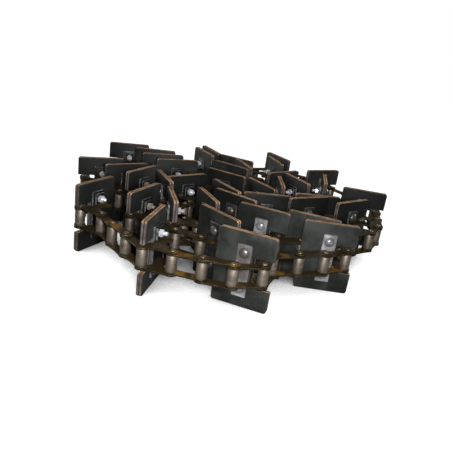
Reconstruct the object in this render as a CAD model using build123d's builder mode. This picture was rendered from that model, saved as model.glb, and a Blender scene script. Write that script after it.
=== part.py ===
from build123d import *
import os

# A paddle conveyor chain: a strand of roller chain that carries a rubber paddle on every fourth link,
# rolled up on its side and standing on the lower edges of its paddles. Millimetres, +Z along the pins.
# Each link has its own frame: origin on its first pin, X towards its second pin, Y towards the paddles.

# ---- roller chain ----
PITCH = 41.4
ROLLER_D = 15.2
ROLLER_L = 24.0
INNER_GAP = 24.6  # between the two plates of a roller link
PIN_D = 6.8
PIN_HEAD = 1.8  # riveted end beyond the outer plate
PIN_CHAMFER = 0.7
BUSH_D = 10.0
PLATE_T = 2.3
PLATE_H = 17.6
WAIST_H = 13.8
WAIST_TURN = 25.0  # degrees of the round end, on each side, that the waist takes over
SIDE_PLAY = 0.3  # between roller-link and pin-link plates
PIN_FIT = 0.05  # radial, pin in bush
ROLLER_FIT = 0.08  # radial, roller on bush
SEAT_FIT = 0.02  # radial, a pressed or bolted piece in its hole

# ---- wings of the paddle links ----
WING_START = 10.7  # along the link, from the first pin to the wing's straight edge
WING_TOP = 20.3
WING_REACH = 39.0  # from the pin line
WING_CORNER = 3.0
WING_CHEEK = 9.0  # straight part of the far edge, below the top
WING_FOOT = 3.5  # slope between the straight edge and the round end
WING_LAND = 3.0  # past the second pin, where the sweep runs out
WING_SWEEP = 11.0  # how deep the sweep is cut below the straight line between its ends

# ---- paddles ----
PADDLE_W = 80.7  # across the chain
PADDLE_L = 107.6  # along the pins
PLY_T = 4.0
OVERHANG = 12.0  # from the pin line to the paddle's inner edge
NOTCH_L = 44.0
NOTCH_DEPTH = 32.0
PADDLE_CORNER = 4.0
NOTCH_CORNER = 2.5
STRAP_T = 3.0
STRAP_W = 20.0
STRAP_L = 75.0
CARRIER_W = 24.0
CARRIER_L = 76.0
CARRIER_LIP = 1.0  # carrier strap beyond the wing's top
BACKING_SIDE = 17.0
BACKING_T = 2.5
BOLT_LINE = 29.0  # from the pin line
BACKING_CLEAR = 0.3  # from the side plates' outer faces
BOLT_D = 6.0
BOLT_END = 6.0  # thread beyond the nut
HEAD_D = 14.4
HEAD_T = 4.4
HEAD_TAPER = 38.0  # degrees
NUT_ACROSS_FLATS = 10.0
NUT_T = 5.2

# ---- how the strand lies: the heading of each link, in degrees, from the open outer end inwards ----
PADDLE_EVERY = 4
FREE_HEADINGS = [-73, -25, -52, -49, -46]  # links 0 to 4, which swing
COIL_HEADINGS = [-9, -11, -10, 17, 71, 23, 22, 32, 89, 55, 37, 60, 78, 79, 81, 119, 126, 128, 121, 146]
COIL_HEADINGS += [150, 156, 213, 214]
COIL_PADDLES = [5, 9, 13, 19, 23, 27]  # two plain links more lie between the third and the fourth
TAIL_HEADINGS = [-75, -68, -80]  # a piece parted from link 0 by its connecting link
TAIL_PADDLE = 1
CONNECTING_HEADING = -77
FIRST_COIL_PIN = (-107.2, -259.9)  # pin 5, from the middle of the roll

# ---- worked out ----
PLATE_R = PLATE_H / 2
PIN_R = PIN_D / 2
BUSH_R = BUSH_D / 2
ROLLER_R = ROLLER_D / 2
BOLT_R = BOLT_D / 2
INNER_Z = INNER_GAP / 2  # inner face of a roller-link plate
BUSH_L = INNER_GAP + 2 * PLATE_T
OUTER_Z = BUSH_L / 2 + SIDE_PLAY  # inner face of a pin-link plate
PIN_L = 2 * (OUTER_Z + PLATE_T + PIN_HEAD)
BOLT_SPACING = 2 * (OUTER_Z + PLATE_T + BACKING_CLEAR + BACKING_SIDE / 2)
STAND_Z = PADDLE_L / 2  # the pins' middle above the floor
PADDLE_MIDDLE = PADDLE_W / 2 - OVERHANG
CARRIER_MIDDLE = WING_REACH + CARRIER_LIP - CARRIER_W / 2
CARRIER_X = WING_START - STRAP_T
REAR_PLY_X = CARRIER_X - PLY_T
FRONT_PLY_X = REAR_PLY_X - PLY_T
STRAP_X = FRONT_PLY_X - STRAP_T
NUT_X = WING_START + BACKING_T
THREAD_X = NUT_X + NUT_T
BOTH_PINS = (0, PITCH)


# ---- frames along the strand ----
def walk(pin, headings):
    """Frames of the links whose headings are given, one pitch after another from a first pin."""
    frames = []
    for heading in headings:
        along = Vector(1, 0, 0).rotate(Axis.Z, heading)
        frames.append(Plane(origin=pin, x_dir=along, z_dir=(0, 0, 1)))
        pin = pin + along * PITCH
    return frames


def walk_back(last_pin, headings):
    """The same, but from the last pin back to the first."""
    first_pin = last_pin
    for heading in headings:
        first_pin = first_pin - Vector(PITCH, 0, 0).rotate(Axis.Z, heading)
    return walk(first_pin, headings)


free_end = Vector(*FIRST_COIL_PIN, STAND_Z)
free_links = walk_back(free_end, FREE_HEADINGS)
coil = dict(enumerate(walk(free_end, COIL_HEADINGS), start=len(FREE_HEADINGS)))
tail_end = walk_back(free_links[0].origin, [CONNECTING_HEADING])[0].origin
tail = walk_back(tail_end, TAIL_HEADINGS)

anchor = coil[COIL_PADDLES[0]]  # the link that holds the swinging run
roller_links = [coil[n] for n in coil if n % 2 == 0] + [tail[TAIL_PADDLE - 1], tail[TAIL_PADDLE + 1]]
plain_links = [coil[n] for n in coil if n % 2 == 1 and n not in COIL_PADDLES]
winged_links = [coil[n] for n in COIL_PADDLES[1:]] + [tail[TAIL_PADDLE]]
paddle_links = [anchor] + winged_links


def export(piece, name):
    piece.label = name
    export_step(piece, f"parts/{name}.step")


# ---- side plates ----
def round_end(pin_x, side):
    """Where a plate's round end hands over to its waist: the points above and below one pin."""
    hand_over = Vector(0, PLATE_R).rotate(Axis.Z, -side * WAIST_TURN)
    return (pin_x + hand_over.X, hand_over.Y), (pin_x + hand_over.X, -hand_over.Y)


def plain_outline():
    """Figure-eight side plate: two round ends joined by a shallow waist."""
    first_top, first_low = round_end(0, 1)
    last_top, last_low = round_end(PITCH, -1)
    with BuildSketch() as outline:
        with BuildLine():
            ThreePointArc(first_top, (-PLATE_R, 0), first_low)
            ThreePointArc(first_low, (PITCH / 2, -WAIST_H / 2), last_low)
            ThreePointArc(last_low, (PITCH + PLATE_R, 0), last_top)
            ThreePointArc(last_top, (PITCH / 2, WAIST_H / 2), first_top)
        make_face()
    return outline.sketch


def winged_outline():
    """Side plate of a paddle link: the wing stands up square at one edge and sweeps down at the other."""
    first_low = round_end(0, 1)[1]
    last_low = round_end(PITCH, -1)[1]
    sweep_top = Vector(WING_START + WING_TOP, WING_REACH - WING_CHEEK)
    sweep_end = Vector(PITCH + WING_LAND, (PLATE_R**2 - WING_LAND**2) ** 0.5)
    chord = sweep_end - sweep_top
    sweep_middle = sweep_top + chord / 2 - Vector(-chord.Y, chord.X).normalized() * WING_SWEEP
    with BuildSketch() as outline:
        with BuildLine():
            ThreePointArc((0, PLATE_R), (-PLATE_R, 0), first_low)
            ThreePointArc(first_low, (PITCH / 2, -WAIST_H / 2), last_low)
            ThreePointArc(last_low, (PITCH + PLATE_R, 0), sweep_end)
            ThreePointArc(sweep_end, sweep_middle, sweep_top)
            Polyline(
                sweep_top,
                (WING_START + WING_TOP, WING_REACH),
                (WING_START, WING_REACH),
                (WING_START, PLATE_R + WING_FOOT),
                (WING_START - WING_FOOT, PLATE_R),
                (0, PLATE_R),
            )
        make_face()
        fillet(outline.vertices().group_by(Axis.Y)[-1], radius=WING_CORNER)
    return outline.sketch


PLAIN = plain_outline()
WINGED = winged_outline()


def side_plates(links, outline, inner_z, hole_r=PIN_R, holes_at=()):
    """Both side plates of each link, drilled at the pins named."""
    with BuildPart() as plates:
        for link in links:
            for z in (inner_z, -inner_z - PLATE_T):
                with BuildSketch(link.offset(z)):
                    add(outline)
                    for x in holes_at:
                        with Locations((x, 0)):
                            Circle(hole_r, mode=Mode.SUBTRACT)
                extrude(amount=PLATE_T)
    return plates.part


# ---- bushes, rollers and pins ----
def tubes(link, ends, radius, bore, length):
    """Plain tubes standing across the chain at the given pins of a link."""
    with BuildPart() as across_chain:
        with BuildSketch(link.offset(-length / 2)):
            with Locations(*[(x, 0) for x in ends]):
                Circle(radius)
                Circle(bore, mode=Mode.SUBTRACT)
        extrude(amount=length)
    return across_chain.part


def pins(link, ends):
    """Pins through both pin-link plates, with chamfered riveted ends."""
    with BuildPart() as rods:
        with BuildSketch(link.offset(-PIN_L / 2)):
            with Locations(*[(x, 0) for x in ends]):
                Circle(PIN_R)
        extrude(amount=PIN_L)
        rims = rods.edges().filter_by(GeomType.CIRCLE)
        chamfer(rims, length=PIN_CHAMFER)
    return rods.part


def closed_rollers(links):
    """Rollers of the resting coil, each in one piece with the bush and the pin inside it."""
    with BuildPart() as rollers:
        for link in links:
            with BuildSketch(link.offset(-ROLLER_L / 2)):
                with Locations(*[(x, 0) for x in BOTH_PINS]):
                    Circle(ROLLER_R)
            extrude(amount=ROLLER_L)
    return rollers.part


# ---- paddles: two notched plies between a front strap and the carrier strap on the wings ----
def across(link, x):
    """The plane square to a link at a distance along it: its X is the link's Y, and its Y is +Z."""
    return Plane(origin=link.origin + link.x_dir * x, x_dir=link.y_dir, z_dir=link.x_dir)


def drill(drilled):
    """Both bolt holes in the sketch of a sandwich layer."""
    if drilled:
        with Locations((BOLT_LINE, -BOLT_SPACING / 2), (BOLT_LINE, BOLT_SPACING / 2)):
            Circle(BOLT_R + SEAT_FIT, mode=Mode.SUBTRACT)


def plies(links, x, drilled=False):
    """One ply of each paddle: a rounded rectangle with a notch that straddles the chain."""
    with BuildPart() as sheets:
        for link in links:
            with BuildSketch(across(link, x)):
                with Locations((PADDLE_MIDDLE, 0)):
                    RectangleRounded(PADDLE_W, PADDLE_L, PADDLE_CORNER)
                with Locations((-OVERHANG, 0)):
                    RectangleRounded(2 * NOTCH_DEPTH, NOTCH_L, NOTCH_CORNER, mode=Mode.SUBTRACT)
                drill(drilled)
            extrude(amount=PLY_T)
    return sheets.part


def straps(links, x, middle, width, length, drilled=False):
    """Flat steel straps along the pins' direction, one for each link."""
    with BuildPart() as bars:
        for link in links:
            with BuildSketch(across(link, x)):
                with Locations((middle, 0)):
                    Rectangle(width, length)
                drill(drilled)
            extrude(amount=STRAP_T)
    return bars.part


def bolt_planes(links, x):
    """Planes square to the bolts of each link's paddle, centred on them."""
    for link in links:
        layer = across(link, x)
        for side in (-1, 1):
            centre = layer.from_local_coords(Vector(BOLT_LINE, side * BOLT_SPACING / 2, 0))
            yield Plane(origin=centre, x_dir=layer.x_dir, z_dir=layer.z_dir)


def backing_plates(links, drilled=False):
    """Square washers between the carrier strap and the nuts."""
    with BuildPart() as squares:
        for bolt in bolt_planes(links, WING_START):
            with BuildSketch(bolt):
                Rectangle(BACKING_SIDE, BACKING_SIDE)
                if drilled:
                    Circle(BOLT_R + SEAT_FIT, mode=Mode.SUBTRACT)
            extrude(amount=BACKING_T)
    return squares.part


def bolts(links, shank):
    """Carriage bolts: tapered heads on the front strap, with the given length of shank behind them."""
    with BuildPart() as heads:
        for bolt in bolt_planes(links, STRAP_X):
            with BuildSketch(bolt):
                Circle(HEAD_D / 2)
            extrude(amount=-HEAD_T, taper=HEAD_TAPER)
            if shank:
                with BuildSketch(bolt):
                    Circle(BOLT_R)
                extrude(amount=shank)
    return heads.part


def nuts(links, drilled=False):
    """Hexagon nuts on the square washers."""
    with BuildPart() as hexagons:
        for bolt in bolt_planes(links, NUT_X):
            with BuildSketch(bolt):
                RegularPolygon(NUT_ACROSS_FLATS / 2, side_count=6, major_radius=False)
                if drilled:
                    Circle(BOLT_R + SEAT_FIT, mode=Mode.SUBTRACT)
            extrude(amount=NUT_T)
    return hexagons.part


def paddle(links, prefix, drilled):
    """All the pieces of the paddles on the given links, named with the prefix."""
    shank = THREAD_X + BOLT_END - STRAP_X if drilled else 0
    export(plies(links, FRONT_PLY_X, drilled), f"{prefix}_front_ply")
    export(plies(links, REAR_PLY_X, drilled), f"{prefix}_rear_ply")
    export(straps(links, STRAP_X, BOLT_LINE, STRAP_W, STRAP_L, drilled), f"{prefix}_front_strap")
    export(straps(links, CARRIER_X, CARRIER_MIDDLE, CARRIER_W, CARRIER_L, drilled), f"{prefix}_carrier_strap")
    export(backing_plates(links, drilled), f"{prefix}_backing_plates")
    export(bolts(links, shank), f"{prefix}_bolts")
    export(nuts(links, drilled), f"{prefix}_nuts")


os.makedirs("parts", exist_ok=True)

# ---- the swinging run: every roller turns, every pin is a hinge ----
for number, link in enumerate(free_links):
    if number % 2 == 0:
        export(side_plates([link], PLAIN, INNER_Z, BUSH_R + SEAT_FIT, BOTH_PINS), f"link_{number}_plates")
        export(tubes(link, BOTH_PINS, BUSH_R, PIN_R + PIN_FIT, BUSH_L), f"link_{number}_bushes")
        for pin_number, x in enumerate(BOTH_PINS, start=number):
            export(tubes(link, [x], ROLLER_R, BUSH_R + ROLLER_FIT, ROLLER_L), f"roller_{pin_number}")
    else:
        outline = WINGED if number % PADDLE_EVERY == 1 else PLAIN
        export(side_plates([link], outline, OUTER_Z, PIN_R + SEAT_FIT, BOTH_PINS), f"link_{number}_plates")
        export(pins(link, BOTH_PINS), f"link_{number}_pins")
        if outline is WINGED:
            paddle([link], "paddle", drilled=True)

# ---- the resting coil ----
export(side_plates([anchor], WINGED, OUTER_Z, PIN_R + SEAT_FIT, [0]), "anchor_plates")
export(pins(anchor, [0]), "anchor_pin")
export(side_plates(roller_links, PLAIN, INNER_Z), "coil_roller_link_plates")
export(side_plates(plain_links, PLAIN, OUTER_Z), "coil_pin_link_plates")
export(side_plates(winged_links, WINGED, OUTER_Z), "coil_winged_plates")
export(closed_rollers(roller_links), "coil_rollers")
paddle(paddle_links, "coil", drilled=False)
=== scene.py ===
"""A paddle conveyor chain, rolled up and stood on its paddles: the looks, and the roll's inner turns."""

import math

import bmesh
import bpy
from mathutils import Matrix, Vector


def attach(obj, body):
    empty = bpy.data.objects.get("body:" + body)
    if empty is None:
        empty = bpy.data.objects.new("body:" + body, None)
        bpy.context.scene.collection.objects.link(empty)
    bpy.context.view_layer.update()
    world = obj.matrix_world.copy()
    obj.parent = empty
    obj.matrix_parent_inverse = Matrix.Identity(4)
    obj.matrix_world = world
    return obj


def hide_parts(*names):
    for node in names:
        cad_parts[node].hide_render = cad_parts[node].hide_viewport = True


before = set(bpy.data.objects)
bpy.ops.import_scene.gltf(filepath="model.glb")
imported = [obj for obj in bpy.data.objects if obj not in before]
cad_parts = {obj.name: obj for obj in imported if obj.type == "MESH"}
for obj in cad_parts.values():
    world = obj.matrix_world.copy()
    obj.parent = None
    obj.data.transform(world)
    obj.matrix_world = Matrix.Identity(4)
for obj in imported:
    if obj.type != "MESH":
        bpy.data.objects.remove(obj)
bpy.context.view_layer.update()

MM = 0.001

# ---- sizes that the added pieces share with the CAD, in millimetres ----
PITCH = 41.4
PLATE_R = 8.8
PLATE_T = 2.3
WAIST_HALF = 6.9
WAIST_TURN = 25  # degrees of the round end, on each side, that the waist takes over
INNER_Z = 12.3  # inner face of a roller-link plate
OUTER_Z = 14.9  # inner face of a pin-link plate
ROLLER_R = 7.6
ROLLER_L = 24.0
PIN_HEAD = 1.8
WING_START = 10.7
WING_TOP = 20.3
WING_REACH = 39.0
WING_CORNER = 3.0
WING_CHEEK = 9.0  # straight part of the far edge, below the top
WING_FOOT = 3.5  # slope between the straight edge and the round end
WING_LAND = 3.0  # past the second pin, where the sweep runs out
WING_SWEEP = 11.0  # how deep the sweep is cut below the straight line between its ends
PADDLE_W = 80.7
PADDLE_L = 107.6
PADDLE_CORNER = 4.0
OVERHANG = 12.0  # from the pin line to the paddle's inner edge
NOTCH_DEPTH = 32.0
NOTCH_HALF = 22.0
NOTCH_CORNER = 2.5
PLY_T = 4.0
STRAP_T = 3.0
STRAP_W = 20.0
STRAP_L = 75.0
CARRIER_W = 24.0
CARRIER_L = 76.0
CARRIER_LIP = 1.0  # carrier strap beyond the wing's top
BACKING_SIDE = 17.0
BACKING_T = 2.5
BOLT_LINE = 29.0  # from the pin line
BOLT_HALF = 26.0  # from the middle of the chain
BOLT_R = 3.0
BOLT_END = 6.0  # thread beyond the nut
HEAD_R = 7.2
HEAD_T = 4.4
NUT_FLAT = 5.0  # from the axis to a flat
NUT_T = 5.2

STAND_Z = PADDLE_L / 2  # the pins' middle above the floor
CARRIER_X = WING_START - STRAP_T
REAR_PLY_X = CARRIER_X - PLY_T
FRONT_PLY_X = REAR_PLY_X - PLY_T
STRAP_X = FRONT_PLY_X - STRAP_T
NUT_X = WING_START + BACKING_T
THREAD_X = NUT_X + NUT_T
THREAD_END = THREAD_X + BOLT_END
BOTH_PINS = (0, PITCH)
BOTH_BOLTS = (-BOLT_HALF, BOLT_HALF)

# ---- sizes that only the detailed pieces have ----
ROUND_STEPS = 28  # round a roller or a bolt's head
SMALL_STEPS = 18  # round a pin's end or a thread
RIM_ANGLE = 35  # degrees, above which an edge is a rim
SHADE_ANGLE = 32  # degrees, above which an edge is shaded sharp
PLATE_RIM = 0.4  # width of the broken edge of a side plate or a strap
BACKING_RIM = 0.35
PLY_RIM = 0.35
COVER_T = 0.85  # rubber on each side of a ply's fabric core
ROLLER_BORE = 4.6
ROLLER_RIM = ((0.7, 0.0), (0.15, 0.25), (0.0, 0.9))  # from the corner: towards the axis, along it
RIVET = ((3.75, -0.1), (3.85, 0.35), (3.5, 1.15), (2.7, 1.7), (1.7, PIN_HEAD), (1.1, 1.45), (0, 1.3))
HEAD_DOME = ((0, -HEAD_T), (2.1, -4.28), (4.0, -3.75), (5.5, -2.9), (6.6, -1.75), (7.1, -0.7), (HEAD_R, 0))
THREAD_PITCH = 1.0
THREAD_ROOT = 2.5
THREAD_HIDDEN = 0.6  # where the turns start, inside the nut's outer face
THREAD_LAST = 1.3  # no turn starts nearer than this to the bolt's end
POINT_R = 2.0  # the bolt's end, beyond its chamfer
POINT_L = 0.6
NUT_STEPS = 36
NUT_CHAMFER = 28  # degrees
NUT_FACE_R = 4.75  # of the flat ring inside the chamfer
NUT_HOLE_R = 2.9
NUT_DISH = 0.25
NUT_TURNS = (14, 45)  # degrees that the two nuts of a paddle are turned from square

# ---- how the strand lies: the CAD's links 0 to 4, 5 to 28 and its tail, and those added here ----
PADDLE_EVERY = 4
COIL_START = (-107.2, -259.9)
FREE_HEADINGS = [-73, -25, -52, -49, -46]
FREE_PADDLE = 1
COIL_HEADINGS = [-9, -11, -10, 17, 71, 23, 22, 32, 89, 55, 37, 60, 78, 79, 81, 119, 126, 128, 121, 146]
COIL_HEADINGS += [150, 156, 213, 214]
COIL_PADDLES = (5, 9, 13, 19, 23, 27)
CONNECTING_HEADING = -77
TAIL_HEADINGS = [-75, -68, -80]
FIRST_TAIL = -4
TAIL_PADDLE = -3
END_HEADINGS = [-76, -116, -116]
FIRST_END = -7
# The inner turns' headings were found by a layout search outside this script, which weighed the fold
# limit and the spacing of the strands against each paddle's measured place.
INNER_HEADINGS = [
    166, 169, -150, -142, -137, -134, -83, -95, -101, -110, -53, -37, -74, -92, -22, -29, -21, -17, 45,
    14, 18, 7, 73, 72, 27, 68, 130, 106, 84, 108, 174, 116, 117, 136, -160, -161, 177, 162, -149, -80,
    -139, -143, -73, -68, -130, -95, -26, -51, -85, -53, 16, -13, 1, 7, 70, 37, 46, 56, 99, 106, 114,
    122, 131, 157, 163, 170, -115, -151, -140, -135, -67, -114, -84, -46, 26, -36, -56, -4, 56, -9, 19,
    50, 121, 64, 107, 144, -150, 143, 85, 148, -157, -151, -91, -45, -119, 164, -132, -59, -48, -113,
    -54, -7, 26, -18, 45, 76, 97, 31, 83, 148, -177, 124, 111, -175, -122, -36, -10, -68, -144, -165,
    -87, -25, 36,
]
FIRST_INNER = 29
AFTER_INNER = FIRST_INNER + len(INNER_HEADINGS)

# each run's first link, the one after its last, and one of its paddle links
RUNS = {
    "outer_end": (FIRST_END, FIRST_TAIL, FIRST_END),
    "turn_2": (FIRST_INNER, 66, 31),
    "turn_3": (66, 106, 67),
    "turn_4": (106, AFTER_INNER, 107),
}
# paddle links whose front strap and bolt heads are darkened with dirt
DULL_LINKS = (39, 43, 47, 55, 59, 75, 79, 87, 91, 95, 103, 107, 111, 119, 123, 131, 135, 143)

# ---- floor, lamps and camera, in metres and watts ----
FLOOR_SIZE = 12
FLOOR_GREY = 0.28
SHADOW_REACH = 0.12
SHADOW_RANGE = (0.1, 0.47)  # open sky over the floor, from full shadow to white
FILL = 0.13
LAMP_TARGET = (0, 0, 0.05)
LAMPS = {  # place, size and power
    "key": ((0.03, -0.72, 0.29), 0.1, 4.2),
    "overhead": ((0.0, 0.1, 1.7), 1.0, 1.2),
    "back_left": ((-1.1, 0.8, 0.6), 0.6, 8),
    "back_right": ((1.1, 0.8, 0.6), 0.6, 8),
}
CAMERA_AT = (-0.00223, -0.85398, 0.33153)
CAMERA_TILT = 20.24  # degrees down
CAMERA_ROLL = 8.01
FOCAL_LENGTH = 39.31  # millimetres, as is the sensor's width
SENSOR_W = 36.0


# ================================================================ materials
MIX_FACTOR, MIX_A, MIX_B = 0, 6, 7  # a Mix node's sockets for colours
MIX_RESULT = 2


class Shader:
    """A material and its node tree; sockets take a value or another node's output."""

    def __init__(self, name):
        self.material = bpy.data.materials.new(name)
        self.material.use_nodes = True
        self.tree = self.material.node_tree
        self.tree.nodes.clear()
        self.output = self.node("ShaderNodeOutputMaterial")
        self.position = self.node("ShaderNodeTexCoord").outputs["Object"]

    def node(self, kind, inputs=None, **settings):
        made = self.tree.nodes.new(kind)
        for key, value in settings.items():
            setattr(made, key, value)
        for key, value in (inputs or {}).items():
            self.feed(made.inputs[key], value)
        return made

    def feed(self, socket, value):
        if isinstance(value, bpy.types.NodeSocket):
            self.tree.links.new(value, socket)
        else:
            socket.default_value = value

    def noise(self, scale, detail=3.0, roughness=0.55, at=None):
        at = at or self.position
        inputs = {"Vector": at, "Scale": scale, "Detail": detail, "Roughness": roughness}
        return self.node("ShaderNodeTexNoise", inputs).outputs["Fac"]

    def stretch(self, factors):
        mapping = self.node("ShaderNodeMapping", {"Vector": self.position, "Scale": factors})
        return mapping.outputs["Vector"]

    def shifted(self, offset):
        mapping = self.node("ShaderNodeMapping", {"Vector": self.position, "Location": offset})
        return mapping.outputs["Vector"]

    def maths(self, operation, a, b=0.0):
        return self.node("ShaderNodeMath", {0: a, 1: b}, operation=operation).outputs[0]

    def remap(self, value, low, high, to_low=0.0, to_high=1.0):
        inputs = {"Value": value, "From Min": low, "From Max": high, "To Min": to_low, "To Max": to_high}
        ranged = self.node("ShaderNodeMapRange", inputs, interpolation_type="SMOOTHSTEP")
        return ranged.outputs["Result"]

    def mix(self, factor, a, b):
        inputs = {MIX_FACTOR: factor, MIX_A: a, MIX_B: b}
        return self.node("ShaderNodeMix", inputs, data_type="RGBA").outputs[MIX_RESULT]

    def facing_up(self):
        normal = self.node("ShaderNodeNewGeometry").outputs["Normal"]
        return self.node("ShaderNodeSeparateXYZ", {"Vector": normal}).outputs["Z"]

    def bump(self, height, strength, distance):
        inputs = {"Height": height, "Strength": strength, "Distance": distance}
        return self.node("ShaderNodeBump", inputs).outputs["Normal"]

    def finish(self, **inputs):
        names = {"base": "Base Color", "metal": "Metallic", "rough": "Roughness", "normal": "Normal"}
        names["specular"] = "Specular IOR Level"
        principled = self.node("ShaderNodeBsdfPrincipled", {names[k]: v for k, v in inputs.items()})
        self.tree.links.new(principled.outputs["BSDF"], self.output.inputs["Surface"])
        return self.material


def srgb(r, g, b):
    """A display colour, 0 to 255, as the linear colour that a shader takes."""
    shares = (r / 255, g / 255, b / 255)
    linear = [c / 12.92 if c <= 0.04045 else ((c + 0.055) / 1.055) ** 2.4 for c in shares]
    return (*linear, 1.0)


def chain_steel():
    """Oily side plates: amber dried oil and dust on what faces up, near black on the sides."""
    s = Shader("chain_plate")
    patches = s.noise(16, detail=4, roughness=0.6)
    blots = s.noise(75, detail=5, roughness=0.65)
    fine = s.noise(420, detail=4, roughness=0.6)
    oil_and_painted_shade = s.remap(s.maths("ADD", patches, s.maths("MULTIPLY", blots, 0.5)), 0.75, 0.97)
    side = s.mix(s.remap(blots, 0.4, 0.62), srgb(26, 24, 16), srgb(48, 42, 28))
    top = s.mix(oil_and_painted_shade, srgb(52, 42, 24), srgb(134, 97, 38))
    top = s.mix(s.remap(fine, 0.54, 0.76, to_high=0.7), top, srgb(34, 26, 14))
    up = s.remap(s.facing_up(), 0.3, 0.9)
    base = s.mix(up, side, top)
    rub = s.remap(s.noise(160, roughness=0.7, at=s.stretch((1, 1, 0.4))), 0.68, 0.82)
    base = s.mix(rub, base, srgb(96, 84, 60))
    rough = s.remap(fine, 0.3, 0.7, to_low=0.3, to_high=0.52)
    grain = s.bump(fine, strength=0.3, distance=0.0006)
    return s.finish(base=base, metal=0.12, rough=rough, specular=0.15, normal=grain)


def roller_steel():
    """Rollers: worn steel, warm grey under a thin film of old oil, with faint marks round them."""
    s = Shader("roller_steel")
    bands = s.noise(170, roughness=0.6, at=s.stretch((0.25, 0.25, 1)))
    blotch = s.noise(75, detail=4, roughness=0.6)
    base = s.mix(s.remap(bands, 0.3, 0.7), srgb(142, 130, 116), srgb(172, 160, 148))
    base = s.mix(s.remap(blotch, 0.52, 0.74), base, srgb(108, 88, 64))
    end = s.remap(s.maths("ABSOLUTE", s.facing_up()), 0.5, 0.9)
    base = s.mix(end, base, srgb(60, 48, 32))
    rough = s.remap(blotch, 0.3, 0.7, to_low=0.42, to_high=0.56)
    wear = s.bump(blotch, strength=0.12, distance=0.0004)
    return s.finish(base=base, metal=0.92, rough=rough, normal=wear)


def pin_steel():
    """Pins, bushes and riveted ends: oiled steel in darker and lighter spots."""
    s = Shader("pin_steel")
    spots = s.noise(260, detail=4, roughness=0.6)
    base = s.mix(s.remap(spots, 0.4, 0.65), srgb(92, 78, 58), srgb(146, 130, 106))
    rough = s.remap(spots, 0.3, 0.7, to_low=0.3, to_high=0.55)
    pits = s.bump(spots, strength=0.2, distance=0.0004)
    return s.finish(base=base, metal=0.6, rough=rough, normal=pits)


def zinc(name, light, dull, dirt, metal):
    """Zinc plate: cloudy grey, dirtier in some places than in others."""
    s = Shader(name)
    clouds = s.noise(70, detail=5, roughness=0.6)
    fine = s.noise(520, roughness=0.6)
    base = s.mix(s.remap(clouds, 0.35, 0.66), dull, light)
    soiled = s.remap(s.noise(11, detail=4, roughness=0.7), 0.48, 0.64)
    base = s.mix(soiled, base, dirt)
    rough = s.remap(fine, 0.3, 0.7, to_low=0.26, to_high=0.42)
    grain = s.bump(fine, strength=0.12, distance=0.0003)
    return s.finish(base=base, metal=metal, rough=rough, normal=grain)


def worn_edge(name, light, dark, metal):
    """A thin broken edge, lighter where it's rubbed; along the dark carrier straps and backing plates its
    lightness is also a painted highlight.
    """
    s = Shader(name)
    rubbed = s.remap(s.noise(150, detail=4, roughness=0.65), 0.35, 0.65)
    return s.finish(base=s.mix(rubbed, dark, light), metal=metal, rough=0.4)


def rubber():
    """Ply covers: dull charcoal rubber, scuffed, dusty where it faces up, with painted shade blackening
    broad patches.
    """
    s = Shader("paddle_rubber")
    clouds = s.noise(24, detail=5, roughness=0.6)
    grain = s.noise(900, roughness=0.6)
    scuffs = s.noise(60, detail=4, roughness=0.7, at=s.stretch((1, 1, 0.25)))
    base = s.mix(s.remap(clouds, 0.36, 0.64), srgb(32, 34, 32), srgb(57, 59, 56))
    base = s.mix(s.remap(scuffs, 0.56, 0.76, to_high=0.6), base, srgb(70, 70, 64))
    # Painted shade: a broad slow noise, shifted so that its dark patches lie away from the front of the
    # roll, blackens the rubber there.
    oil_and_painted_shade = s.noise(3.2, detail=1.0, roughness=0.4, at=s.shifted((-1.47, -0.03, -0.3)))
    base = s.mix(s.remap(oil_and_painted_shade, 0.42, 0.6, to_high=0.85), base, srgb(20, 22, 20))
    base = s.mix(s.remap(s.facing_up(), 0.4, 0.9, to_high=0.25), base, srgb(104, 80, 54))
    height = s.maths("ADD", s.maths("MULTIPLY", grain, 0.4), s.noise(110))
    rough = s.remap(clouds, 0.3, 0.7, to_low=0.48, to_high=0.6)
    texture = s.bump(height, strength=0.3, distance=0.0007)
    return s.finish(base=base, rough=rough, specular=0.2, normal=texture)


def cut_edge(name, top_light, top_dark, side_light, side_dark):
    """A cut edge of a ply: cord ends, warm where it faces up and greyer on the upright edges."""
    s = Shader(name)
    cords = s.noise(1400, detail=2, roughness=0.5)
    patches = s.noise(60, detail=4, roughness=0.65)
    warm = s.mix(s.remap(patches, 0.35, 0.65), top_dark, top_light)
    warm = s.mix(s.remap(cords, 0.5, 0.7, to_high=0.6), warm, top_dark)
    dull = s.mix(s.remap(patches, 0.35, 0.65), side_dark, side_light)
    up = s.remap(s.facing_up(), 0.1, 0.7)
    ends = s.bump(cords, strength=0.5, distance=0.0006)
    return s.finish(base=s.mix(up, dull, warm), rough=0.85, specular=0.12, normal=ends)


def floor_white():
    """White to the camera, with the object's shadow kept on it, deep where it's closed in."""
    s = Shader("floor_white")
    seen = s.node("ShaderNodeLightPath").outputs["Is Camera Ray"]
    grey = (FLOOR_GREY, FLOOR_GREY, FLOOR_GREY, 1)
    matt = s.node("ShaderNodeBsdfDiffuse", {"Color": grey}).outputs[0]
    occlusion = s.node("ShaderNodeAmbientOcclusion", {"Distance": SHADOW_REACH}, samples=8)
    strength = s.remap(occlusion.outputs["AO"], *SHADOW_RANGE)
    glow = s.node("ShaderNodeEmission", {"Color": (1, 1, 1, 1), "Strength": strength}).outputs[0]
    lit = s.node("ShaderNodeAddShader", {0: matt, 1: glow}).outputs[0]
    both = s.node("ShaderNodeMixShader", {0: seen, 1: matt, 2: lit}).outputs[0]
    s.tree.links.new(both, s.output.inputs["Surface"])
    return s.material


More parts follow.
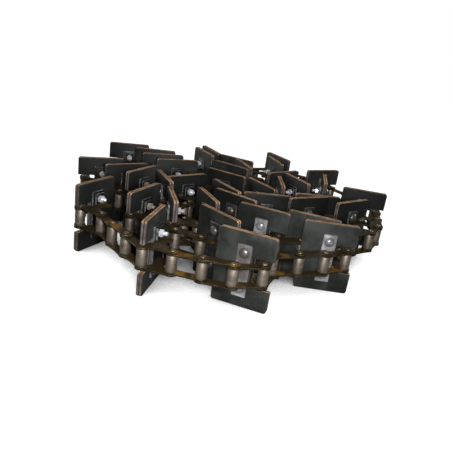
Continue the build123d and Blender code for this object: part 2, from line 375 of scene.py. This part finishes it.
CHAIN = chain_steel()
ROLLER = roller_steel()
PIN = pin_steel()
STRAP = zinc("zinc_strap", srgb(190, 188, 191), srgb(138, 136, 139), srgb(108, 102, 100), 0.4)
# Dark zinc for the faces of the carrier straps and backing plates; their cut edges take the lighter strap
# edge, a painted highlight.
DARK_STRAP = zinc("dark_zinc_strap", srgb(32, 33, 33), srgb(20, 20, 20), srgb(36, 31, 24), 0.3)
FASTENER = zinc("zinc_fastener", srgb(246, 247, 252), srgb(220, 222, 230), srgb(188, 182, 174), 0.45)
BOLT_HEAD = zinc("bolt_head", srgb(186, 186, 192), srgb(140, 140, 146), srgb(104, 98, 90), 0.6)
DULL_STRAP = zinc("dull_strap", srgb(78, 78, 82), srgb(46, 46, 47), srgb(44, 40, 34), 0.4)
DULL_HEAD = zinc("dull_head", srgb(128, 124, 122), srgb(88, 82, 76), srgb(72, 60, 46), 0.6)
CHAIN_EDGE = worn_edge("chain_edge", srgb(128, 114, 84), srgb(66, 56, 38), 0.3)
# On the carrier straps and backing plates this edge grey is a painted highlight, much lighter than their
# dark faces.
STRAP_EDGE = worn_edge("strap_edge", srgb(128, 130, 132), srgb(70, 70, 70), 0.3)
RUBBER_EDGE = worn_edge("rubber_edge", srgb(84, 74, 60), srgb(46, 42, 36), 0.0)
RUBBER = rubber()
FABRIC_TOP = (srgb(206, 166, 132), srgb(138, 102, 72))
FABRIC_SIDE = (srgb(118, 108, 104), srgb(78, 68, 66))
FABRIC = cut_edge("ply_fabric", *FABRIC_TOP, *FABRIC_SIDE)


# ================================================================ where the links lie
def link_matrix(x, y, heading):
    return Matrix.Translation((x, y, STAND_Z)) @ Matrix.Rotation(math.radians(heading), 4, "Z")


def walk(start, headings, first=0):
    """{number: matrix} of links laid one pitch after another, and the pin where they end."""
    x, y = start
    links = {}
    for number, heading in enumerate(headings, start=first):
        links[number] = link_matrix(x, y, heading)
        x += PITCH * math.cos(math.radians(heading))
        y += PITCH * math.sin(math.radians(heading))
    return links, (x, y)


def walk_back(end, headings):
    """The pin where links of these headings start, if they end at the pin given."""
    x, y = end
    for heading in headings:
        x -= PITCH * math.cos(math.radians(heading))
        y -= PITCH * math.sin(math.radians(heading))
    return x, y


coil_links, inner_start = walk(COIL_START, COIL_HEADINGS, len(FREE_HEADINGS))
inner_links, _ = walk(inner_start, INNER_HEADINGS, FIRST_INNER)
free_start = walk_back(COIL_START, FREE_HEADINGS)
free_links, _ = walk(free_start, FREE_HEADINGS)
tail_end = walk_back(free_start, [CONNECTING_HEADING])
tail_start = walk_back(tail_end, TAIL_HEADINGS)
tail_links, _ = walk(tail_start, TAIL_HEADINGS, FIRST_TAIL)
end_links, _ = walk(walk_back(tail_start, END_HEADINGS), END_HEADINGS, FIRST_END)


# ================================================================ mesh helpers, all in a link's own frame
def arc(a, b, c, steps):
    """Points from a through b to c on one circle, without the last."""
    ax, ay, bx, by, cx, cy = *a, *b, *c
    d = 2 * (ax * (by - cy) + bx * (cy - ay) + cx * (ay - by))
    ux = ((ax**2 + ay**2) * (by - cy) + (bx**2 + by**2) * (cy - ay) + (cx**2 + cy**2) * (ay - by)) / d
    uy = ((ax**2 + ay**2) * (cx - bx) + (bx**2 + by**2) * (ax - cx) + (cx**2 + cy**2) * (bx - ax)) / d
    r = math.hypot(ax - ux, ay - uy)
    start, middle, end = (math.atan2(y - uy, x - ux) for x, y in (a, b, c))
    full = (end - start) % math.tau
    if (middle - start) % math.tau > full:
        full -= math.tau
    turns = [start + full * k / steps for k in range(steps)]
    return [(ux + r * math.cos(turn), uy + r * math.sin(turn)) for turn in turns]


def round_corner(corner, back, on, radius, steps):
    """Points of a corner's arc, without the last; back and on are the directions of its two sides."""
    slant = radius * (1 - math.sqrt(0.5))
    x, y = corner
    first = (x + back[0] * radius, y + back[1] * radius)
    middle = (x + (back[0] + on[0]) * slant, y + (back[1] + on[1]) * slant)
    last = (x + on[0] * radius, y + on[1] * radius)
    return arc(first, middle, last, steps)


END_STEPS = 16
WINGED_END_STEPS = 14
WAIST_STEPS = 6
SWEEP_STEPS = 12
CORNER_STEPS = 4
NOTCH_STEPS = 3


def waist_end():
    """Where the waist meets the first round end, above the pin line."""
    turn = math.radians(90 - WAIST_TURN)
    return PLATE_R * math.cos(turn), PLATE_R * math.sin(turn)


def plain_outline():
    hx, hy = waist_end()
    outline = arc((hx, hy), (-PLATE_R, 0), (hx, -hy), END_STEPS)
    outline += arc((hx, -hy), (PITCH / 2, -WAIST_HALF), (PITCH - hx, -hy), WAIST_STEPS)
    outline += arc((PITCH - hx, -hy), (PITCH + PLATE_R, 0), (PITCH - hx, hy), END_STEPS)
    outline += arc((PITCH - hx, hy), (PITCH / 2, WAIST_HALF), (hx, hy), WAIST_STEPS)
    return outline


def winged_outline():
    hx, hy = waist_end()
    left, right, far = WING_START, WING_START + WING_TOP, WING_REACH
    cheek = (right, far - WING_CHEEK)
    land = (PITCH + WING_LAND, math.sqrt(PLATE_R**2 - WING_LAND**2))
    chord = Vector(land) - Vector(cheek)
    sweep = Vector(cheek) + chord / 2 - Vector((-chord.y, chord.x)).normalized() * WING_SWEEP
    outline = arc((0, PLATE_R), (-PLATE_R, 0), (hx, -hy), WINGED_END_STEPS)
    outline += arc((hx, -hy), (PITCH / 2, -WAIST_HALF), (PITCH - hx, -hy), WAIST_STEPS)
    outline += arc((PITCH - hx, -hy), (PITCH + PLATE_R, 0), land, WINGED_END_STEPS)
    outline += arc(land, tuple(sweep), cheek, SWEEP_STEPS)
    outline += [cheek]
    outline += round_corner((right, far), (0, -1), (-1, 0), WING_CORNER, CORNER_STEPS)
    outline += round_corner((left, far), (1, 0), (0, -1), WING_CORNER, CORNER_STEPS)
    outline += [(left, far - WING_CORNER), (left, PLATE_R + WING_FOOT), (left - WING_FOOT, PLATE_R)]
    return outline


def round_rims(bm, width, segments=1):
    """Breaks a part's sharp edges; the narrow faces made there take its second material."""
    limit = math.radians(RIM_ANGLE)
    sharp = [e for e in bm.edges if len(e.link_faces) == 2 and e.calc_face_angle(0) > limit]
    settings = {"segments": segments, "profile": 0.6, "clamp_overlap": True, "material": 1}
    bmesh.ops.bevel(bm, geom=sharp, offset=width, affect="EDGES", **settings)


def join_rings(bm, lower, upper):
    """Quads between two closed rings of as many points."""
    count = len(lower)
    made = []
    for k in range(count):
        n = (k + 1) % count
        made.append(bm.faces.new((lower[k], lower[n], upper[n], upper[k])))
    return made


def slab(bm, outline, low, high):
    """A flat plate with the outline in XY."""
    bottom = [bm.verts.new((x, y, low)) for x, y in outline]
    top = [bm.verts.new((x, y, high)) for x, y in outline]
    bm.faces.new(bottom[::-1])
    bm.faces.new(top)
    join_rings(bm, bottom, top)


def lathe(bm, profile, steps, place):
    """Revolves (radius, height) points about Z, then puts the result in place."""
    turns = [math.tau * k / steps for k in range(steps)]
    rings = []
    for radius, height in profile:
        spokes = turns if radius else [0]
        points = [Vector((radius * math.cos(a), radius * math.sin(a), height)) for a in spokes]
        rings.append([bm.verts.new(place @ point) for point in points])
    for lower, upper in zip(rings, rings[1:]):
        if len(lower) == len(upper):
            join_rings(bm, lower, upper)
            continue
        for k in range(steps):
            n = (k + 1) % steps
            if len(lower) == 1:
                bm.faces.new((upper[k], upper[n], lower[0]))
            else:
                bm.faces.new((lower[k], lower[n], upper[0]))


def template(build):
    """A bmesh in a link's own frame, made once and stamped on every link."""
    bm = bmesh.new()
    build(bm)
    bmesh.ops.recalc_face_normals(bm, faces=bm.faces)
    return bm


# ---- chain ----
def plates(outline, inner_z):
    def build(bm):
        slab(bm, outline, inner_z, inner_z + PLATE_T)
        slab(bm, outline, -inner_z - PLATE_T, -inner_z)
        round_rims(bm, PLATE_RIM)

    return template(build)


def rollers_build(bm):
    half = ROLLER_L / 2
    profile = [(ROLLER_BORE, -half)]
    profile += [(ROLLER_R - inwards, -half + along) for inwards, along in ROLLER_RIM]
    profile += [(r, -h) for r, h in profile[::-1]]
    for x in BOTH_PINS:
        lathe(bm, profile, ROUND_STEPS, Matrix.Translation((x, 0, 0)))


def rivets_build(bm):
    """Riveted pin ends on both faces of a pin link: a low crown with the punch's dimple."""
    for x in BOTH_PINS:
        for side in (1, -1):
            place = Matrix.Translation((x, 0, side * (OUTER_Z + PLATE_T)))
            lathe(bm, RIVET, SMALL_STEPS, place @ Matrix.Diagonal((1, 1, side, 1)))


# ---- paddle layers: local X runs through the sandwich, Y away from the chain, Z along the pins ----
def ply_outline():
    """(y, z) points round a notched ply."""
    low, high, half = -OVERHANG, PADDLE_W - OVERHANG, PADDLE_L / 2
    notch, edge = NOTCH_DEPTH - OVERHANG, NOTCH_HALF
    points = round_corner((low, -half), (0, 1), (1, 0), PADDLE_CORNER, CORNER_STEPS)
    points += [(low + PADDLE_CORNER, -half)]
    points += round_corner((high, -half), (-1, 0), (0, 1), PADDLE_CORNER, CORNER_STEPS)
    points += [(high, -half + PADDLE_CORNER)]
    points += round_corner((high, half), (0, -1), (-1, 0), PADDLE_CORNER, CORNER_STEPS)
    points += [(high - PADDLE_CORNER, half)]
    points += round_corner((low, half), (1, 0), (0, -1), PADDLE_CORNER, CORNER_STEPS)
    points += [(low, half - PADDLE_CORNER), (low, edge)]
    points += round_corner((notch, edge), (-1, 0), (0, -1), NOTCH_CORNER, NOTCH_STEPS)
    points += round_corner((notch, -edge), (0, 1), (-1, 0), NOTCH_CORNER, NOTCH_STEPS)
    points += [(notch - NOTCH_CORNER, -edge), (low, -edge)]
    return points


def ply(start):
    """One ply: rubber covers on a fabric core, cut through with square, slightly broken edges."""

    def build(bm):
        outline = ply_outline()
        depths = (0.0, COVER_T, PLY_T - COVER_T, PLY_T)
        rings = [[bm.verts.new((start + d, y, z)) for y, z in outline] for d in depths]
        covers = [bm.faces.new(rings[0]), bm.faces.new(rings[-1][::-1])]
        cover_edge, core_edge, other_cover_edge = zip(rings, rings[1:])
        join_rings(bm, *cover_edge)
        for face in join_rings(bm, *core_edge):
            face.material_index = 1
        join_rings(bm, *other_cover_edge)
        rims = [e for e in bm.edges if any(face in covers for face in e.link_faces)]
        settings = {"segments": 2, "profile": 0.5, "material": 2}
        bmesh.ops.bevel(bm, geom=rims, offset=PLY_RIM, affect="EDGES", **settings)

    return template(build)


def mark_cut_edges(bm):
    """Gives a strap's or backing plate's cut edges the second material; its flat sides face along X."""
    bm.normal_update()
    for face in bm.faces:
        face.material_index = 0 if abs(face.normal.x) > 0.5 else 1


def box(bm, middle, size):
    made = bmesh.ops.create_cube(bm, size=1.0)["verts"]
    place = Matrix.Translation(middle) @ Matrix.Diagonal((*size, 1))
    bmesh.ops.transform(bm, matrix=place, verts=made)


def strap(start, middle_y, width, length):
    def build(bm):
        box(bm, (start + STRAP_T / 2, middle_y, 0), (STRAP_T, width, length))
        mark_cut_edges(bm)
        round_rims(bm, PLATE_RIM, segments=2)

    return template(build)


def backing_build(bm):
    for z in BOTH_BOLTS:
        middle = (WING_START + BACKING_T / 2, BOLT_LINE, z)
        box(bm, middle, (BACKING_T, BACKING_SIDE, BACKING_SIDE))
    mark_cut_edges(bm)
    round_rims(bm, BACKING_RIM)


def along_bolt(z, x=0.0):
    """Places a turned piece on a bolt's axis: its Z becomes the link's X."""
    return Matrix.Translation((x, BOLT_LINE, z)) @ Matrix.Rotation(math.radians(90), 4, "Y")


def bolts_build(bm):
    """Domed carriage-bolt heads in front, and the threaded ends behind the nuts."""
    thread = [(BOLT_R, NUT_X)]
    x = THREAD_X - THREAD_HIDDEN
    while x < THREAD_END - THREAD_LAST:
        thread += [(THREAD_ROOT, x), (BOLT_R, x + THREAD_PITCH / 2)]
        x += THREAD_PITCH
    thread += [(THREAD_ROOT, THREAD_END - POINT_L), (POINT_R, THREAD_END), (0, THREAD_END)]
    for z in BOTH_BOLTS:
        lathe(bm, [*HEAD_DOME, (0, 0)], ROUND_STEPS, along_bolt(z, STRAP_X))
        lathe(bm, thread, SMALL_STEPS, along_bolt(z))
    for face in bm.faces:
        face.material_index = 0 if face.calc_center_median().x < 0 else 1


def nuts_build(bm):
    """Hexagon nuts with the turned chamfer on their corners."""
    chamfer = math.tan(math.radians(NUT_CHAMFER))
    for z, turned in zip(BOTH_BOLTS, NUT_TURNS):
        place = along_bolt(z, NUT_X)
        rings = [[], [], [], []]
        for k in range(NUT_STEPS):
            turn = math.tau * k / NUT_STEPS
            off_flat = (turn + math.radians(30)) % math.radians(60) - math.radians(30)
            radius = NUT_FLAT / math.cos(off_flat)
            shoulder = NUT_T - (radius - NUT_FACE_R) * chamfer
            profile = (radius, 0), (radius, shoulder), (NUT_FACE_R, NUT_T), (NUT_HOLE_R, NUT_T - NUT_DISH)
            c, s = math.cos(turn + math.radians(turned)), math.sin(turn + math.radians(turned))
            for ring, (r, height) in zip(rings, profile):
                ring.append((r * c, r * s, height))
        made = [[bm.verts.new(place @ Vector(p)) for p in ring] for ring in rings]
        for lower, upper in zip(made, made[1:]):
            join_rings(bm, lower, upper)


PLATE_LOOK = [CHAIN, CHAIN_EDGE]
PLY_LOOK = [RUBBER, FABRIC, RUBBER_EDGE]
PLAIN_OUTLINE = plain_outline()
FRONT_STRAP = strap(STRAP_X, BOLT_LINE, STRAP_W, STRAP_L)
CARRIER_STRAP = strap(CARRIER_X, WING_REACH + CARRIER_LIP - CARRIER_W / 2, CARRIER_W, CARRIER_L)
BOLTS = template(bolts_build)
TEMPLATES = {  # shape, materials and slot
    "roller_link_plates": (plates(PLAIN_OUTLINE, INNER_Z), PLATE_LOOK, "chain_plate"),
    "pin_link_plates": (plates(PLAIN_OUTLINE, OUTER_Z), PLATE_LOOK, "chain_plate"),
    "winged_plates": (plates(winged_outline(), OUTER_Z), PLATE_LOOK, "chain_plate"),
    "rollers": (template(rollers_build), [ROLLER], "roller_steel"),
    "riveted_ends": (template(rivets_build), [PIN], "pin_steel"),
    "front_plies": (ply(FRONT_PLY_X), PLY_LOOK, "paddle_rubber"),
    "rear_plies": (ply(REAR_PLY_X), PLY_LOOK, "paddle_rubber"),
    "front_straps": (FRONT_STRAP, [STRAP, STRAP_EDGE], "zinc_strap"),
    "dull_straps": (FRONT_STRAP, [DULL_STRAP, STRAP_EDGE], "zinc_strap"),
    # Carrier straps and backing plates: dark faces, with their cut edges painted lighter as a painted
    # highlight.
    "carrier_straps": (CARRIER_STRAP, [DARK_STRAP, STRAP_EDGE], "zinc_strap"),
    "backing_plates": (template(backing_build), [DARK_STRAP, STRAP_EDGE], "zinc_fastener"),
    "bolts": (BOLTS, [BOLT_HEAD, FASTENER], "zinc_fastener"),
    "dull_bolts": (BOLTS, [DULL_HEAD, FASTENER], "zinc_fastener"),
    "nuts": (template(nuts_build), [FASTENER], "zinc_fastener"),
}


def stamp(name, kind, links, body="root", replaced=()):
    """One object holding a template stamped on each of the links given."""
    source, materials, slot = TEMPLATES[kind]
    joined = bmesh.new()
    for matrix in links:
        copy = source.copy()
        copy.transform(matrix)
        scratch = bpy.data.meshes.new("scratch")
        copy.to_mesh(scratch)
        copy.free()
        joined.from_mesh(scratch)
        bpy.data.meshes.remove(scratch)
    joined.transform(Matrix.Scale(MM, 4))
    mesh = bpy.data.meshes.new(name)
    joined.to_mesh(mesh)
    joined.free()
    for material in materials:
        mesh.materials.append(material)
    mesh.shade_smooth()
    mesh.set_sharp_from_angle(angle=math.radians(SHADE_ANGLE))
    piece = bpy.data.objects.new(name, mesh)
    bpy.context.scene.collection.objects.link(piece)
    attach(piece, body)
    if replaced:
        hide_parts(*replaced)


# ================================================================ the CAD's own pieces
BROAD_AREA = 250e-6  # square metres
SAME_POINT = 0.02 * MM
CAD_RIM = 0.4 * MM
CAD_RIM_ANGLE = 40  # degrees


def broad_sides(mesh):
    """Indices of the polygons that lie in a broad flat side, leaving those of the thin cut edges."""
    sides = {}
    for polygon in mesh.polygons:
        normal = polygon.normal
        key = (*(round(c, 2) for c in normal), round(normal.dot(polygon.center), 4))
        sides.setdefault(key, []).append(polygon)
    broad = set()
    for members in sides.values():
        if sum(p.area for p in members) > BROAD_AREA:
            broad.update(p.index for p in members)
    return broad


def look_of(name):
    """The face and edge materials of a CAD node."""
    # Carrier straps and backing plates: dark faces, with a painted highlight on their cut edges.
    if "backing" in name or "carrier" in name:
        return DARK_STRAP, STRAP_EDGE
    if "strap" in name:
        return STRAP, STRAP_EDGE
    if "plates" in name:
        return CHAIN, CHAIN_EDGE
    if "roller" in name:
        return ROLLER, ROLLER
    return PIN, PIN


def dress(name, node):
    """Materials for a CAD node, and its sharp edges broken in the second one."""
    node.data.materials.clear()
    for material in look_of(name):
        node.data.materials.append(material)
    if "strap" in name or "backing" in name:
        broad = broad_sides(node.data)
        for polygon in node.data.polygons:
            polygon.material_index = 0 if polygon.index in broad else 1
    weld = node.modifiers.new("weld", "WELD")
    weld.merge_threshold = SAME_POINT
    bevel = node.modifiers.new("broken edges", "BEVEL")
    bevel.width = CAD_RIM
    bevel.segments = 2
    bevel.limit_method = "ANGLE"
    bevel.angle_limit = math.radians(CAD_RIM_ANGLE)
    bevel.use_clamp_overlap = True
    bevel.material = 1


for name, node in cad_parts.items():
    dress(name, node)

# ---- pieces that stand for plain CAD ones ----
STAND_INS = {  # template, and the end of the CAD nodes' names
    "front_plies": "front_ply",
    "rear_plies": "rear_ply",
    "bolts": "bolts",
    "nuts": "nuts",
}
coil_paddle_links = [coil_links[n] for n in COIL_PADDLES] + [tail_links[TAIL_PADDLE]]
for kind, node in STAND_INS.items():
    stamp(f"paddle_{kind}_shown", kind, [free_links[FREE_PADDLE]], "link_1", [f"paddle_{node}"])
    stamp(f"coil_{kind}_shown", kind, coil_paddle_links, "root", [f"coil_{node}"])

coil_pin_links = [coil_links[n] for n in coil_links if n % 2] + [tail_links[TAIL_PADDLE]]
stamp("coil_riveted_ends", "riveted_ends", coil_pin_links)

# ================================================================ the rest of the strand
shown_links = {**end_links, **inner_links}


def stamp_run(run, kinds, numbers):
    for kind in kinds:
        if numbers:
            stamp(f"{run}_{kind}", kind, [shown_links[n] for n in numbers])


for run, (first, after, paddle_link) in RUNS.items():
    numbers = range(first, after)
    roller_links = [n for n in numbers if n % 2 == 0]
    winged = [n for n in numbers if (n - paddle_link) % PADDLE_EVERY == 0]
    plain = [n for n in numbers if n % 2 and n not in winged]
    stamp_run(run, ("roller_link_plates", "rollers"), roller_links)
    stamp_run(run, ("pin_link_plates",), plain)
    stamp_run(run, ("winged_plates",), winged)
    stamp_run(run, ("riveted_ends",), plain + winged)
    stamp_run(run, ("front_plies", "rear_plies", "carrier_straps", "backing_plates", "nuts"), winged)
    stamp_run(run, ("front_straps", "bolts"), [n for n in winged if n not in DULL_LINKS])
    stamp_run(run, ("dull_straps", "dull_bolts"), [n for n in winged if n in DULL_LINKS])

# ================================================================ floor, light and camera
bpy.ops.mesh.primitive_plane_add(size=FLOOR_SIZE, location=(0, 0, 0))
floor = bpy.context.active_object
floor.name = "floor"
floor.data.materials.append(floor_white())


def studio_world():
    """White to the camera, and a low plain fill on the object."""
    world = bpy.data.worlds.new("studio")
    world.use_nodes = True
    nodes, links = world.node_tree.nodes, world.node_tree.links
    nodes.clear()
    choose = nodes.new("ShaderNodeMixShader")
    seen = nodes.new("ShaderNodeLightPath").outputs["Is Camera Ray"]
    links.new(seen, choose.inputs[0])
    for socket, strength in ((1, FILL), (2, 1.0)):
        background = nodes.new("ShaderNodeBackground")
        background.inputs["Color"].default_value = (1, 1, 1, 1)
        background.inputs["Strength"].default_value = strength
        links.new(background.outputs[0], choose.inputs[socket])
    out = nodes.new("ShaderNodeOutputWorld")
    links.new(choose.outputs[0], out.inputs["Surface"])
    bpy.context.scene.world = world


def area_light(name, at, size, power):
    lamp = bpy.data.lights.new(name, "AREA")
    lamp.size = size
    lamp.energy = power
    holder = bpy.data.objects.new(name, lamp)
    holder.location = at
    aim = Vector(LAMP_TARGET) - Vector(at)
    holder.rotation_euler = aim.to_track_quat("-Z", "Y").to_euler()
    bpy.context.scene.collection.objects.link(holder)


def studio_camera():
    """A camera that looks along +Y, tilted down and rolled."""
    tilt, roll = math.radians(CAMERA_TILT), math.radians(CAMERA_ROLL)
    forward = Vector((0, math.cos(tilt), -math.sin(tilt)))
    up = Vector((0, math.sin(tilt), math.cos(tilt)))
    right = Vector((1, 0, 0))
    camera_right = right * math.cos(roll) + up * math.sin(roll)
    camera_up = up * math.cos(roll) - right * math.sin(roll)
    lens = bpy.data.cameras.new("camera")
    lens.lens = FOCAL_LENGTH
    lens.sensor_width = SENSOR_W
    lens.clip_start = 0.01
    camera = bpy.data.objects.new("camera", lens)
    axes = Matrix((camera_right, camera_up, -forward)).transposed().to_4x4()
    camera.matrix_world = Matrix.Translation(CAMERA_AT) @ axes
    bpy.context.scene.collection.objects.link(camera)
    bpy.context.scene.camera = camera


studio_world()
for name, (at, size, power) in LAMPS.items():
    area_light(name, at, size, power)
studio_camera()

bpy.context.scene.view_settings.view_transform = "Standard"
